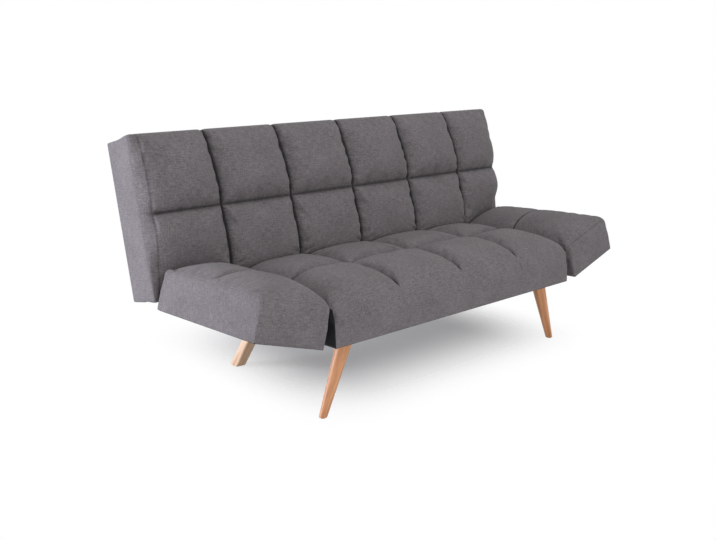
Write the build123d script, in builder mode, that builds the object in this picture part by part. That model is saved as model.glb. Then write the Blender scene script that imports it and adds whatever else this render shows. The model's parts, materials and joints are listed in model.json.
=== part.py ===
"""Three-seat click-clack sofa bed on splayed wooden legs, millimetres, +Z up, front towards -Y.

The seat, the back and the two wing arms are four upholstered slabs of the same make: a dust cover,
a ring of rails, a border of cover fabric round the rails, webbing or a deck on top, and a quilted pad.
The back turns on two click-clack brackets behind the seat, and each arm turns on two strap hinges
along the seat's side, so that all four slabs come level and make a bed.
The origin is on the floor, in the middle of the sofa's plan. Left and right are as seen from the front.
"""
from build123d import *
import math
import os

os.makedirs("parts", exist_ok=True)

# Quilting grid
column = 300.0
seat_columns = 4
back_outer_column = 284.0
back_rows_height = (294.0, 262.0)
seat_rows_depth = (274.0, 289.0)
arm_rows_depth = (292.0, 273.0)

# Slab make-up, shared by the seat, the back and the arms
cover_thickness = 3.0
sheet_thickness = 2.0
rail_thickness = 25.0
rail_height = 58.0
rail_edge_round = 2.0
webbing_thickness = 2.0
strap_width = 50.0
side_round = 8.0
skin_clearance = 0.5

# Quilting profiles, one list of stations for each row, from its outer edge towards the row seam. A station is:
# share of the row, rise of the column seams over the slab's edge, puff of a column, puff of an end column
seat_front_profile = ((0.0, -14.0, 6.0, 10.0), (0.07, 11.0, 12.0, 14.0), (0.32, 36.0, 24.0, 28.0),
                      (0.62, 46.0, 26.0, 30.0), (0.90, 46.0, 22.0, 26.0))
seat_rear_profile = ((0.0, -14.0, 6.0, 6.0), (0.07, 15.0, 9.0, 11.0), (0.16, 35.0, 15.0, 19.0),
                     (0.34, 42.0, 22.0, 26.0), (0.62, 45.0, 26.0, 30.0), (0.90, 46.0, 22.0, 26.0))
seat_seam_station = (39.0, 8.0, 14.0)
back_low_profile = ((0.0, -24.0, 6.0, 2.0), (0.12, 11.0, 10.0, 2.0), (0.32, 48.0, 20.0, 4.0),
                    (0.58, 57.0, 26.0, 12.0), (0.90, 52.0, 24.0, 18.0))
back_high_profile = ((0.0, -8.0, 6.0, 6.0), (0.09, 10.0, 14.0, 14.0), (0.42, 40.0, 28.0, 26.0),
                     (0.72, 54.0, 28.0, 26.0), (0.91, 52.0, 24.0, 24.0))
back_seam_station = (39.0, 8.0, 14.0)
arm_front_profile = ((0.0, -6.0, 8.0, 8.0), (0.07, 0.0, 20.0, 20.0), (0.28, 0.0, 42.0, 42.0),
                     (0.62, 0.0, 50.0, 50.0), (0.90, 0.0, 50.0, 50.0))
arm_rear_profile = ((0.0, -29.0, 5.0, 5.0), (0.10, -10.0, 15.0, 15.0), (0.26, 0.0, 38.0, 38.0),
                    (0.62, 0.0, 50.0, 50.0), (0.90, 0.0, 50.0, 50.0))
arm_seam_station = (0.0, 43.0, 43.0)

# Seat
seat_edge_thickness = 135.0
seat_pitch = 3.55
seat_rear_height = 217.3
seat_rear_y = 126.0

# Back and its click-clack pivot
back_edge_thickness = 165.0
back_lean = 12.58
pivot_behind_seat = 39.0
pivot_below_edge = 12.5
bed_gap = 20.0
back_overhang = 8.0

# Arms
arm_gap = 8.0
arm_width = 262.0
arm_outer_rise = 12.0
arm_tilt = 17.5
hinge_below_edge = 6.0

# Click-clack brackets
bracket_x = 450.0
plate_thickness = 4.0
plate_gap = 0.5
flange_width = 60.0
flange_low = 16.0
flange_high = 56.0
arm_root_high = 46.0
pivot_eye_radius = 16.0
pivot_bolt_diameter = 10.0
bolt_head_across = 17.0
bolt_head_height = 6.0
bolt_nut_height = 3.0
stop_radius = 30.0
stop_pin_diameter = 8.0
stop_land = 12.0
stop_play = 1.0
stile_leg_height = 100.0
stile_leg_depth = 48.0
arm_root_lift = 8.0
notch_side_clearance = 2.0
notch_end_clearance = 5.0
running_clearance = 0.05

# Strap hinges of the arms
strap_hinge_width = 50.0
strap_hinge_thickness = 2.0
strap_hinge_foot = 10.0
strap_hinge_inset = 95.0
knuckle_radius = 3.8
knuckle_count = 3
knuckle_gap = 0.4
hinge_pin_diameter = 3.2

# Legs
leg_top_x = 496.0
front_leg_inset = 72.0
front_leg_splay = 0.387
front_leg_top_diameter = 52.0
front_leg_foot_diameter = 26.0
rear_leg_inset = 27.0
rear_leg_splay_out = 0.20
rear_leg_splay_back = 0.50
rear_leg_side = 40.0
rear_leg_corner = 7.0
leg_plate_side = 64.0
leg_plate_corner = 8.0
leg_plate_thickness = 3.0
leg_stud_diameter = 8.0
leg_stud_length = 40.0
stud_end_clearance = 1.0
leg_block_width = 80.0
leg_block_depth = 78.0
leg_block_height = 30.0
front_glide_diameter = 20.0
rear_glide_diameter = 30.0
glide_thickness = 3.0

# Sizes that follow
rail_low = sheet_thickness
rail_high = rail_low + rail_height
pad_low = rail_high + webbing_thickness
seat_half_width = seat_columns * column / 2 - arm_gap
seat_depth = sum(seat_rows_depth)
back_height = sum(back_rows_height)
back_half_width = seat_columns * column / 2 + back_outer_column
arm_depth = sum(arm_rows_depth)
recline = 90.0 - back_lean + seat_pitch

# Planes of the slabs: X across, Y rearwards or upwards, Z out of the sleeping side, 0 on the underside
pitch_sin = math.sin(math.radians(seat_pitch))
pitch_cos = math.cos(math.radians(seat_pitch))
lean_sin = math.sin(math.radians(back_lean))
lean_cos = math.cos(math.radians(back_lean))
tilt_sin = math.sin(math.radians(arm_tilt))
tilt_cos = math.cos(math.radians(arm_tilt))

seat_plane = Plane(
    origin=(0, seat_rear_y, seat_rear_height),
    x_dir=(1, 0, 0),
    z_dir=(0, pitch_sin, pitch_cos),
)
pivot_level = seat_edge_thickness - pivot_below_edge
pivot = seat_plane.from_local_coords(Vector(0, pivot_behind_seat, pivot_level))
pivot_up_back = pivot_behind_seat - bed_gap
pivot_in_back = back_edge_thickness - pivot_below_edge
back_up = Vector(0, lean_sin, lean_cos)
back_out = Vector(0, -lean_cos, lean_sin)
back_plane = Plane(
    origin=pivot - back_up * pivot_up_back - back_out * pivot_in_back,
    x_dir=(1, 0, 0),
    z_dir=back_out,
)
hinge_x = seat_half_width + arm_gap / 2
hinge_level = seat_edge_thickness - hinge_below_edge
arm_across = seat_plane.x_dir * tilt_cos + seat_plane.z_dir * tilt_sin
arm_out = seat_plane.z_dir * tilt_cos - seat_plane.x_dir * tilt_sin
hinge_point = seat_plane.from_local_coords(Vector(hinge_x, 0, hinge_level))
arm_plane = Plane(
    origin=hinge_point - arm_out * hinge_level,
    x_dir=arm_across,
    z_dir=arm_out,
)
arm_inner = arm_gap / 2
arm_outer = arm_inner + arm_width
arm_rear = 0.0
arm_front = arm_rear - arm_depth


def write(piece, name):
    piece.label = name
    export_step(piece, f"parts/{name}.step")


def write_pair(piece, name):
    """Write a right-hand piece and its left-hand twin."""
    write(piece, f"right_{name}")
    with BuildPart() as twin:
        mirror(piece, about=Plane.YZ)
    write(twin.part, f"left_{name}")


def block(plane, across, along, levels, edge_round=0.0):
    """A board lying on a slab plane between the given limits, with softened long edges."""
    width = across[1] - across[0]
    length = along[1] - along[0]
    with BuildPart() as piece:
        with BuildSketch(plane.offset(levels[0])):
            with Locations(((across[0] + across[1]) / 2, (along[0] + along[1]) / 2)):
                Rectangle(width, length)
        extrude(amount=levels[1] - levels[0])
        if edge_round:
            run = plane.x_dir if width > length else plane.y_dir
            fillet(piece.edges().filter_by(Axis((0, 0, 0), run)), edge_round)
    return piece.part


def border(plane, across, along):
    """The cover fabric round the rails of a slab."""
    centre = ((across[0] + across[1]) / 2, (along[0] + along[1]) / 2)
    width = across[1] - across[0]
    length = along[1] - along[0]
    with BuildPart() as piece:
        with BuildSketch(plane):
            with Locations(centre):
                Rectangle(width, length)
                Rectangle(width - 2 * cover_thickness, length - 2 * cover_thickness, mode=Mode.SUBTRACT)
        extrude(amount=pad_low)
    return piece.part


def dust_cover(plane, across, along):
    inset = cover_thickness
    return block(
        plane,
        (across[0] + inset, across[1] - inset),
        (along[0] + inset, along[1] - inset),
        (0, sheet_thickness),
    )


def straps(plane, places, along):
    """Webbing straps stretched over the rails."""
    with BuildPart() as piece:
        with BuildSketch(plane.offset(rail_high)):
            with Locations([(x, (along[0] + along[1]) / 2) for x in places]):
                Rectangle(strap_width, along[1] - along[0])
        extrude(amount=webbing_thickness)
    return piece.part


def section(plane, along, seams, sides, valley, puff, end_puff):
    """One cross-section of a quilted pad: flat below, one arc over each sewn column."""
    cut = Plane(
        origin=plane.from_local_coords(Vector(0, along, 0)),
        x_dir=plane.x_dir,
        z_dir=plane.y_dir * -1,
    )
    levels = [sides[0]] + [valley] * (len(seams) - 2) + [sides[1]]
    with BuildSketch(cut) as outline:
        with BuildLine():
            Line((seams[-1], sides[1]), (seams[-1], pad_low))
            Line((seams[-1], pad_low), (seams[0], pad_low))
            Line((seams[0], pad_low), (seams[0], sides[0]))
            for left, right, low, high in zip(seams, seams[1:], levels, levels[1:]):
                fullness = end_puff if left == seams[0] or right == seams[-1] else puff
                ThreePointArc((left, low), ((left + right) / 2, (low + high) / 2 + fullness), (right, high))
        make_face()
    return outline.sketch.face()


def quilted_pad(plane, seams, rows, edge_level, profiles, seam_station, outer_rise=0.0):
    """A pad sewn into columns and two rows, with outer_rise lifting its last side over its first."""
    start, middle, end = rows
    side = edge_level - side_round
    rise, puff, end_puff = seam_station
    seam = section(plane, middle, seams, (side, side + outer_rise), edge_level + rise, puff, end_puff)
    with BuildPart() as pad:
        for edge, profile in zip((start, end), profiles):
            stations = []
            for share, rise, puff, end_puff in profile:
                drop = min(rise, 0.0)
                stations.append(
                    section(
                        plane,
                        edge + (middle - edge) * share,
                        seams,
                        (side + drop, side + drop + outer_rise),
                        edge_level + rise,
                        puff,
                        end_puff,
                    )
                )
            loft(sections=stations + [seam])
    return pad.part


# Seat: rails, cross rails, leg blocks, webbing, border, dust cover and pad
seat_across = (-seat_half_width, seat_half_width)
seat_along = (-seat_depth, 0.0)
seat_rail_x = seat_half_width - cover_thickness
seat_rail_front = -seat_depth + cover_thickness
seat_rail_rear = -cover_thickness
rail_levels = (rail_low, rail_high)

write(
    block(
        seat_plane,
        (-seat_rail_x, seat_rail_x),
        (seat_rail_front, seat_rail_front + rail_thickness),
        rail_levels,
        rail_edge_round,
    ),
    "seat_front_rail",
)
write(
    block(
        seat_plane,
        (-seat_rail_x, seat_rail_x),
        (seat_rail_rear - rail_thickness, seat_rail_rear),
        rail_levels,
        rail_edge_round,
    ),
    "seat_rear_rail",
)
seat_inside = (seat_rail_front + rail_thickness, seat_rail_rear - rail_thickness)
write_pair(
    block(seat_plane, (seat_rail_x - rail_thickness, seat_rail_x), seat_inside, rail_levels, rail_edge_round),
    "seat_side_rail",
)

seat_cross_places = [-column, 0.0, column]
with BuildPart() as seat_cross_rails:
    with BuildSketch(seat_plane.offset(rail_low)):
        with Locations([(x, sum(seat_inside) / 2) for x in seat_cross_places]):
            Rectangle(rail_thickness, seat_inside[1] - seat_inside[0])
    extrude(amount=rail_height)
write(seat_cross_rails.part, "seat_cross_rails")

leg_tops = {"front": -seat_depth + front_leg_inset, "rear": -rear_leg_inset}
block_centres = (seat_inside[0] + leg_block_depth / 2, seat_inside[1] - leg_block_depth / 2)
with BuildPart() as leg_blocks:
    with BuildSketch(seat_plane.offset(rail_low)):
        with Locations([(side * leg_top_x, y) for side in (-1, 1) for y in block_centres]):
            Rectangle(leg_block_width, leg_block_depth)
    extrude(amount=leg_block_height)
write(leg_blocks.part, "leg_blocks")

strap_pitch = column / 4
seat_strap_places = [i * strap_pitch for i in range(-7, 8)]
write(straps(seat_plane, seat_strap_places, (seat_rail_front, seat_rail_rear)), "seat_webbing")
write(dust_cover(seat_plane, seat_across, seat_along), "seat_dust_cover")

with BuildPart() as seat_border:
    add(border(seat_plane, seat_across, seat_along))
    for side in (-1, 1):
        with BuildSketch(seat_plane.offset(flange_low - skin_clearance)):
            with Locations((side * (bracket_x + flange_width / 2), -cover_thickness / 2)):
                Rectangle(flange_width + 2 * skin_clearance, cover_thickness)
        extrude(amount=flange_high - flange_low + 2 * skin_clearance, mode=Mode.SUBTRACT)
write(seat_border.part, "seat_border")

seat_pad_x = seat_half_width - skin_clearance
seat_seams = [-seat_pad_x] + [i * column for i in (-1, 0, 1)] + [seat_pad_x]
write(
    quilted_pad(
        seat_plane,
        seat_seams,
        (-seat_depth, -seat_depth + seat_rows_depth[0], -skin_clearance),
        seat_edge_thickness,
        (seat_front_profile, seat_rear_profile),
        seat_seam_station,
    ),
    "seat_pad",
)


# Legs: each is cut level with its glide below and with its plate above
def leg_axis(x, along, out, back):
    """The plane across a right-hand leg at its top, facing down its axis."""
    top = seat_plane.from_local_coords(Vector(x, along, -leg_plate_thickness))
    return Plane(origin=top, x_dir=(0, 1, 0), z_dir=Vector(out, back, -1).normalized())


front_axis = leg_axis(leg_top_x, leg_tops["front"], front_leg_splay, 0.0)
rear_axis = leg_axis(leg_top_x, leg_tops["rear"], rear_leg_splay_out, rear_leg_splay_back)


def foot_point(axis):
    """Where a leg's axis meets the floor."""
    reach = axis.origin.Z / -axis.z_dir.Z
    return axis.origin + axis.z_dir * reach


def stud_hole(axis):
    """The bore for the plate's stud at the top of a leg."""
    with BuildSketch(axis.offset(-front_leg_top_diameter)) as bore:
        Circle(leg_stud_diameter / 2 + running_clearance)
    depth = front_leg_top_diameter + leg_stud_length + stud_end_clearance
    return extrude(bore.sketch, amount=depth, mode=Mode.PRIVATE)


plate_face = seat_plane.offset(-leg_plate_thickness)
glide_top = Plane.XY.offset(glide_thickness)

front_length = (foot_point(front_axis) - front_axis.origin).length
with BuildPart() as front_leg:
    overrun = front_leg_top_diameter
    taper = (front_leg_top_diameter - front_leg_foot_diameter) / 2 / front_length
    with BuildSketch(front_axis.offset(-overrun)):
        Circle(front_leg_top_diameter / 2 + taper * overrun)
    with BuildSketch(front_axis.offset(front_length + overrun / 2)):
        Circle(front_leg_foot_diameter / 2 - taper * overrun / 2)
    loft(ruled=True)
    add(stud_hole(front_axis), mode=Mode.SUBTRACT)
    split(bisect_by=plate_face, keep=Keep.BOTTOM)
    split(bisect_by=glide_top, keep=Keep.TOP)
write_pair(front_leg.part, "front_leg")

rear_length = (foot_point(rear_axis) - rear_axis.origin).length
with BuildPart() as rear_leg:
    with BuildSketch(rear_axis.offset(-rear_leg_side)):
        RectangleRounded(rear_leg_side, rear_leg_side, rear_leg_corner)
    extrude(amount=rear_length + 2 * rear_leg_side)
    add(stud_hole(rear_axis), mode=Mode.SUBTRACT)
    split(bisect_by=plate_face, keep=Keep.BOTTOM)
    split(bisect_by=glide_top, keep=Keep.TOP)
write_pair(rear_leg.part, "rear_leg")

for name, axis, diameter in (
    ("front_glide", front_axis, front_glide_diameter),
    ("rear_glide", rear_axis, rear_glide_diameter),
):
    centre = axis.origin + axis.z_dir * ((axis.origin.Z - glide_thickness) / -axis.z_dir.Z)
    with BuildPart() as glide:
        with BuildSketch(Plane.XY):
            with Locations((centre.X, centre.Y)):
                Circle(diameter / 2)
        extrude(amount=glide_thickness)
        chamfer(glide.edges().group_by(Axis.Z)[0], glide_thickness / 3)
    write_pair(glide.part, name)

with BuildPart() as right_plates:
    for along in leg_tops.values():
        with BuildSketch(plate_face):
            with Locations((leg_top_x, along)):
                RectangleRounded(leg_plate_side, leg_plate_side, leg_plate_corner)
        extrude(amount=leg_plate_thickness)
    for axis in (front_axis, rear_axis):
        with BuildSketch(axis):
            Circle(leg_stud_diameter / 2)
        extrude(amount=leg_stud_length)
with BuildPart() as leg_plates:
    add(right_plates.part)
    mirror(right_plates.part, about=Plane.YZ)
write(leg_plates.part, "leg_plates")

# Back: rails, stiles, webbing, border, rear cover and pad
back_across = (-back_half_width, back_half_width)
back_along = (0.0, back_height)
back_rail_x = back_half_width - cover_thickness
back_inside = (cover_thickness + rail_thickness, back_height - cover_thickness - rail_thickness)

write(
    block(
        back_plane,
        (-back_rail_x, back_rail_x),
        (cover_thickness, back_inside[0]),
        rail_levels,
        rail_edge_round,
    ),
    "back_bottom_rail",
)
write(
    block(
        back_plane,
        (-back_rail_x, back_rail_x),
        (back_inside[1], back_height - cover_thickness),
        rail_levels,
        rail_edge_round,
    ),
    "back_top_rail",
)
write_pair(
    block(back_plane, (back_rail_x - rail_thickness, back_rail_x), back_inside, rail_levels, rail_edge_round),
    "back_side_stile",
)
back_plate_x = bracket_x + plate_thickness + plate_gap
stile_face = back_plate_x + plate_thickness
stile_centre = stile_face + rail_thickness / 2
with BuildPart() as back_inner_stiles:
    with BuildSketch(back_plane.offset(rail_low)):
        with Locations([(x, sum(back_inside) / 2) for x in (-stile_centre, 0.0, stile_centre)]):
            Rectangle(rail_thickness, back_inside[1] - back_inside[0])
    extrude(amount=rail_height)
write(back_inner_stiles.part, "back_inner_stiles")

notch_low = bracket_x - bolt_head_height - notch_side_clearance
notch_high = stile_face + plate_gap + bolt_nut_height + notch_side_clearance
back_strap_places = [i * strap_pitch for i in range(-11, 12) if abs(i) != 6]
write(straps(back_plane, back_strap_places, (cover_thickness, back_height - cover_thickness)), "back_webbing")
write(dust_cover(back_plane, back_across, back_along), "back_rear_cover")
write(border(back_plane, back_across, back_along), "back_border")

back_pad_x = back_half_width - skin_clearance
back_seams = [-back_pad_x] + [i * column for i in (-2, -1, 0, 1, 2)] + [back_pad_x]
notch_top = pivot_up_back + stop_radius + stop_land + notch_end_clearance
notch_front = pivot_in_back + pivot_eye_radius + notch_end_clearance
with BuildPart() as back_pad:
    add(
        quilted_pad(
            back_plane,
            back_seams,
            (0.0, back_rows_height[0], back_height + back_overhang),
            back_edge_thickness,
            (back_low_profile, back_high_profile),
            back_seam_station,
        )
    )
    for side in (-1, 1):
        with BuildSketch(back_plane.offset(pad_low)):
            with Locations((side * (notch_low + notch_high) / 2, notch_top / 2)):
                Rectangle(notch_high - notch_low, notch_top)
        extrude(amount=notch_front - pad_low, mode=Mode.SUBTRACT)
write(back_pad.part, "back_pad")


# Click-clack brackets: a fixed plate with an arc slot, and a moving plate whose stop pin runs in it
def side_plane(plane, x):
    """The plane across X at x, with the slab's own Y and Z as its axes."""
    return Plane(origin=plane.from_local_coords(Vector(x, 0, 0)), x_dir=plane.y_dir, z_dir=plane.x_dir)


def around(centre, radius, degrees):
    angle = math.radians(degrees)
    return (centre[0] + radius * math.cos(angle), centre[1] + radius * math.sin(angle))


seat_pivot = (pivot_behind_seat, pivot_level)
stop_first = recline - 90.0
stop_last = -90.0
stop_turns = (stop_first, (stop_first + stop_last) / 2, stop_last)
slot_height = stop_pin_diameter + 2 * stop_play
bore_radius = pivot_bolt_diameter / 2 + running_clearance

with BuildPart() as seat_bracket:
    flange_middle = (bracket_x + flange_width / 2, plate_thickness / 2 - cover_thickness)
    with BuildSketch(seat_plane.offset(flange_low)):
        with Locations(flange_middle):
            Rectangle(flange_width, plate_thickness)
    extrude(amount=flange_high - flange_low)
    with BuildSketch(side_plane(seat_plane, bracket_x)):
        with Locations((flange_middle[1], (flange_low + arm_root_high) / 2)):
            Rectangle(plate_thickness, arm_root_high - flange_low)
        with Locations(seat_pivot):
            Circle(pivot_eye_radius)
        with Locations([around(seat_pivot, stop_radius, turn) for turn in stop_turns]):
            Circle(stop_land)
        make_hull()
        with Locations(seat_pivot):
            Circle(bore_radius, mode=Mode.SUBTRACT)
        with BuildLine(mode=Mode.PRIVATE) as slot_line:
            CenterArc(seat_pivot, stop_radius, stop_first, stop_last - stop_first)
        SlotArc(slot_line.edge(), slot_height, mode=Mode.SUBTRACT)
    extrude(amount=plate_thickness)
write_pair(seat_bracket.part, "click_clack_seat_bracket")

back_pivot = (pivot_up_back, pivot_in_back)
leg_low = back_inside[0] + skin_clearance
leg_middle = (leg_low + stile_leg_height / 2, rail_high - stile_leg_depth / 2)
arm_root = (leg_low + pivot_eye_radius + arm_root_lift, rail_high - pivot_eye_radius)
with BuildPart() as back_bracket:
    with BuildSketch(side_plane(back_plane, back_plate_x)):
        with Locations(arm_root, back_pivot):
            Circle(pivot_eye_radius)
        make_hull()
        with Locations(leg_middle):
            Rectangle(stile_leg_height, stile_leg_depth)
        with Locations(back_pivot):
            Circle(bore_radius, mode=Mode.SUBTRACT)
    extrude(amount=plate_thickness)
    with BuildSketch(side_plane(back_plane, bracket_x)):
        with Locations((pivot_up_back, pivot_in_back - stop_radius)):
            Circle(stop_pin_diameter / 2)
    extrude(amount=plate_thickness + plate_gap)
write_pair(back_bracket.part, "click_clack_back_bracket")

with BuildPart() as pivot_bolt:
    with BuildSketch(side_plane(seat_plane, bracket_x - bolt_head_height)):
        with Locations(seat_pivot):
            RegularPolygon(bolt_head_across / 2, 6, major_radius=False)
    extrude(amount=bolt_head_height)
    with BuildSketch(side_plane(seat_plane, bracket_x)):
        with Locations(seat_pivot):
            Circle(pivot_bolt_diameter / 2)
    extrude(amount=2 * plate_thickness + 2 * plate_gap)
    with BuildSketch(side_plane(seat_plane, stile_face + plate_gap)):
        with Locations(seat_pivot):
            RegularPolygon(bolt_head_across / 2, 6, major_radius=False)
    extrude(amount=bolt_nut_height)
write_pair(pivot_bolt.part, "click_clack_pivot_bolt")

# Arms: rails, deck, border, dust cover and pad of the right arm, and their twins
arm_across_limits = (arm_inner, arm_outer)
arm_along = (arm_front, arm_rear)
arm_inside = (arm_inner + cover_thickness + rail_thickness, arm_outer - cover_thickness - rail_thickness)
arm_rail_along = (arm_front + cover_thickness, arm_rear - cover_thickness)
write_pair(
    block(
        arm_plane,
        (arm_inner + cover_thickness, arm_inside[0]),
        arm_rail_along,
        rail_levels,
        rail_edge_round,
    ),
    "arm_inner_rail",
)
write_pair(
    block(
        arm_plane,
        (arm_inside[1], arm_outer - cover_thickness),
        arm_rail_along,
        rail_levels,
        rail_edge_round,
    ),
    "arm_outer_rail",
)
arm_end_places = (arm_rail_along[0] + rail_thickness / 2, arm_rail_along[1] - rail_thickness / 2)
with BuildPart() as arm_end_rails:
    with BuildSketch(arm_plane.offset(rail_low)):
        with Locations([(sum(arm_inside) / 2, y) for y in arm_end_places]):
            Rectangle(arm_inside[1] - arm_inside[0], rail_thickness)
    extrude(amount=rail_height)
write_pair(arm_end_rails.part, "arm_end_rails")
write_pair(
    block(
        arm_plane,
        (arm_inner + cover_thickness, arm_outer - cover_thickness),
        arm_rail_along,
        (rail_high, pad_low),
    ),
    "arm_deck",
)
write_pair(border(arm_plane, arm_across_limits, arm_along), "arm_border")
write_pair(dust_cover(arm_plane, arm_across_limits, arm_along), "arm_dust_cover")
write_pair(
    quilted_pad(
        arm_plane,
        [arm_inner + skin_clearance, arm_outer],
        (arm_front, arm_front + arm_rows_depth[0], arm_rear),
        seat_edge_thickness,
        (arm_front_profile, arm_rear_profile),
        arm_seam_station,
        arm_outer_rise,
    ),
    "arm_pad",
)

# Strap hinges: knuckles in turn on the fixed and on the moving leaf, round one pin
hinge_places = (arm_front + strap_hinge_inset, arm_rear - strap_hinge_inset)
knuckle_pitch = strap_hinge_width / knuckle_count


def hinge_face(plane, axis_x, along):
    """The plane across a hinge axis, facing rearwards along it."""
    origin = plane.from_local_coords(Vector(axis_x, along, hinge_level))
    return Plane(origin=origin, x_dir=plane.x_dir, z_dir=plane.y_dir)


def hinge_leaves(plane, leaf_x, axis_x, own_knuckles):
    """Two strap leaves on a slab's side, with their share of the knuckles."""
    with BuildPart() as leaves:
        with BuildSketch(plane.offset(strap_hinge_foot)):
            with Locations([(leaf_x, place) for place in hinge_places]):
                Rectangle(strap_hinge_thickness, strap_hinge_width)
        extrude(amount=hinge_level - strap_hinge_foot)
        for place in hinge_places:
            first = place - strap_hinge_width / 2
            starts = [first + i * knuckle_pitch for i in range(knuckle_count)]
            for i, start in enumerate(starts):
                if i not in own_knuckles:
                    with BuildSketch(hinge_face(plane, axis_x, start - knuckle_gap / 2)):
                        Circle(knuckle_radius + knuckle_gap)
                    extrude(amount=knuckle_pitch + knuckle_gap, mode=Mode.SUBTRACT)
            for i in own_knuckles:
                with BuildSketch(hinge_face(plane, axis_x, starts[i] + knuckle_gap / 2)):
                    Circle(knuckle_radius)
                extrude(amount=knuckle_pitch - knuckle_gap)
            with BuildSketch(hinge_face(plane, axis_x, first)):
                Circle(hinge_pin_diameter / 2 + running_clearance)
            extrude(amount=strap_hinge_width, mode=Mode.SUBTRACT)
    return leaves.part


seat_leaf_x = seat_half_width + strap_hinge_thickness / 2
arm_leaf_x = arm_inner - strap_hinge_thickness / 2
write_pair(hinge_leaves(seat_plane, seat_leaf_x, hinge_x, (0, 2)), "arm_hinge_fixed_leaves")
write_pair(hinge_leaves(arm_plane, arm_leaf_x, 0.0, (1,)), "arm_hinge_moving_leaves")

with BuildPart() as hinge_pins:
    for place in hinge_places:
        with BuildSketch(hinge_face(seat_plane, hinge_x, place - strap_hinge_width / 2)):
            Circle(hinge_pin_diameter / 2)
        extrude(amount=strap_hinge_width)
write_pair(hinge_pins.part, "arm_hinge_pins")
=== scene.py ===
import json
import math
import bpy
import numpy as np
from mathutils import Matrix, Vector


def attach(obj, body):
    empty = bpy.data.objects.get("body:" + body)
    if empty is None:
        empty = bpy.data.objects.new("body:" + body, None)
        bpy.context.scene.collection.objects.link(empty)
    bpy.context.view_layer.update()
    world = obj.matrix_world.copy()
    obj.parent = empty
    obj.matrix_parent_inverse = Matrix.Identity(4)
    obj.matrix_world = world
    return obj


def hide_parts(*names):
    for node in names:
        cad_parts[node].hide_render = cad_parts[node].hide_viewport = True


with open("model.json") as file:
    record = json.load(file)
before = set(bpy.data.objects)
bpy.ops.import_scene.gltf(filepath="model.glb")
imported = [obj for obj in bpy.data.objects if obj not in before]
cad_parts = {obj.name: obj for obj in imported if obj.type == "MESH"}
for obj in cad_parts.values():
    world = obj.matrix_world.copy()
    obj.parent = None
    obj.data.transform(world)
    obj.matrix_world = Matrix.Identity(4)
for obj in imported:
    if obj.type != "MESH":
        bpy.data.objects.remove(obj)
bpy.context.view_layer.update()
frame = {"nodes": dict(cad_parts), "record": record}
scene = bpy.context.scene

# Sizes of the solids, in millimetres
COLUMN = 300.0
SEAT_HALF, SEAT_DEPTH, SEAT_EDGE = 592.0, 563.0, 135.0
SEAT_SEAM = -289.0
SEAT_SEAMS = [-COLUMN, 0.0, COLUMN]
BACK_HALF, BACK_HEIGHT, BACK_EDGE = 884.0, 556.0, 165.0
BACK_SEAM = 294.0
BACK_SEAMS = [-2 * COLUMN, -COLUMN, 0.0, COLUMN, 2 * COLUMN]
ARM_INNER, ARM_OUTER, ARM_FRONT, ARM_REAR = 4.0, 266.0, -565.0, 12.0
ARM_SEAM = ARM_FRONT + 292.0
RAIL_TOP = 62.0
RAIL_CORNER = 8.0

# Where the slabs are: the seat's lower rear edge, the joints' distances along (or across) and over a slab,
# and the angles of the slabs
SEAT_REAR = (0.0, 126.0, 217.3)
PIVOT_ON_SEAT = (39.0, 122.5)
PIVOT_ON_BACK = (19.0, 152.5)
ARM_HINGE = (596.0, 129.0)
PITCH, LEAN, TILT = math.radians(3.55), math.radians(12.58), math.radians(17.5)

# How far the column seams stand over a slab's edge: distance from its front or lower edge, and height
SEAT_PROFILE = ((0, 0), (18, 8), (50, 24), (100, 38), (180, 48), (250, 50), (400, 49), (480, 45), (520, 38),
                (545, 22), (563, 0))
BACK_PROFILE = ((0, 0), (35, 22), (65, 46), (94, 58), (130, 62), (170, 62), (230, 56), (294, 53), (360, 56),
                (400, 50), (450, 39), (500, 24), (540, 10), (564, 0))
ARM_PROFILE = ((0, 0), (20, 15), (60, 32), (120, 45), (180, 50), (460, 50), (505, 40), (545, 21), (577, 0))

# Grid of the covers: spacing on the sleeping side and down the sides, the lower rim,
# and how near to a sewn line a point counts as on it
GRID, SIDE_GRID, BACK_SIDE_GRID = 7.5, 8.0, 8.5
LOWEST = -0.5
ON_LINE = 0.1

# Radii at the low and at the high end across, along and out of a slab,
# and the height over the rails at which they are reached
SEAT_ROUNDS = ((18, 40, 5), (18, 20, 34))
BACK_ROUNDS = ((12, 20, 5), (12, 14, 16))
ARM_ROUNDS = ((12, 30, 5), (13, 20, 18))
ROUNDS_FADE = 45

# Fullness of a panel, and the depth and width of the thread's pull beside a sewn line
SEAT_PUFF, BACK_PUFF, ARM_PUFF = 16.0, 20.0, 1.5
PANEL_FLATNESS, PANEL_STEEPNESS = 3.6, 0.55
SEAT_THREAD = (13, 13)
COLUMN_THREAD, ROW_THREAD, END_THREAD = (14, 17), (12, 17), (2.5, 8)
ARM_THREAD = (4, 12)

# Seat: swell of the upper rear edge
REAR_BULGE = 8.0

# Back: swell past the slab's upper edge, sewn lines near the ends, hollow for the arms,
# and the share of a panel's fullness that is left there
OVERHANG = 8.0
END_SEAM = BACK_HALF - 28.0
END_SEAMS = [-END_SEAM, END_SEAM]
END_COLUMN = BACK_HALF - 2 * COLUMN
ARM_DENT = 11.0
DENT_PUFF = 0.3

# Pleats on the back: level where they start, grid row for them, and height, period in degrees and reach.
# Lumps beside its column seams: height, period and reach.
GATHER_LEVEL = 76.0
PLEAT_ROW = GATHER_LEVEL + 12
PLEATS = (4.5, 40.0, 80.0)
LUMPS = (1.8, 38.0, 15.0)

# Arms: rise of the edges, drop of the front edge, and where the crest lies with the power of each slope
OUTER_RISE = {"left": 4.0, "right": 12.0}
INNER_RISE = 7.0
FRONT_DROP = 3.0
ARM_CREST, INNER_SLOPE, OUTER_SLOPE = 0.42, 2.6, 1.5

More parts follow.
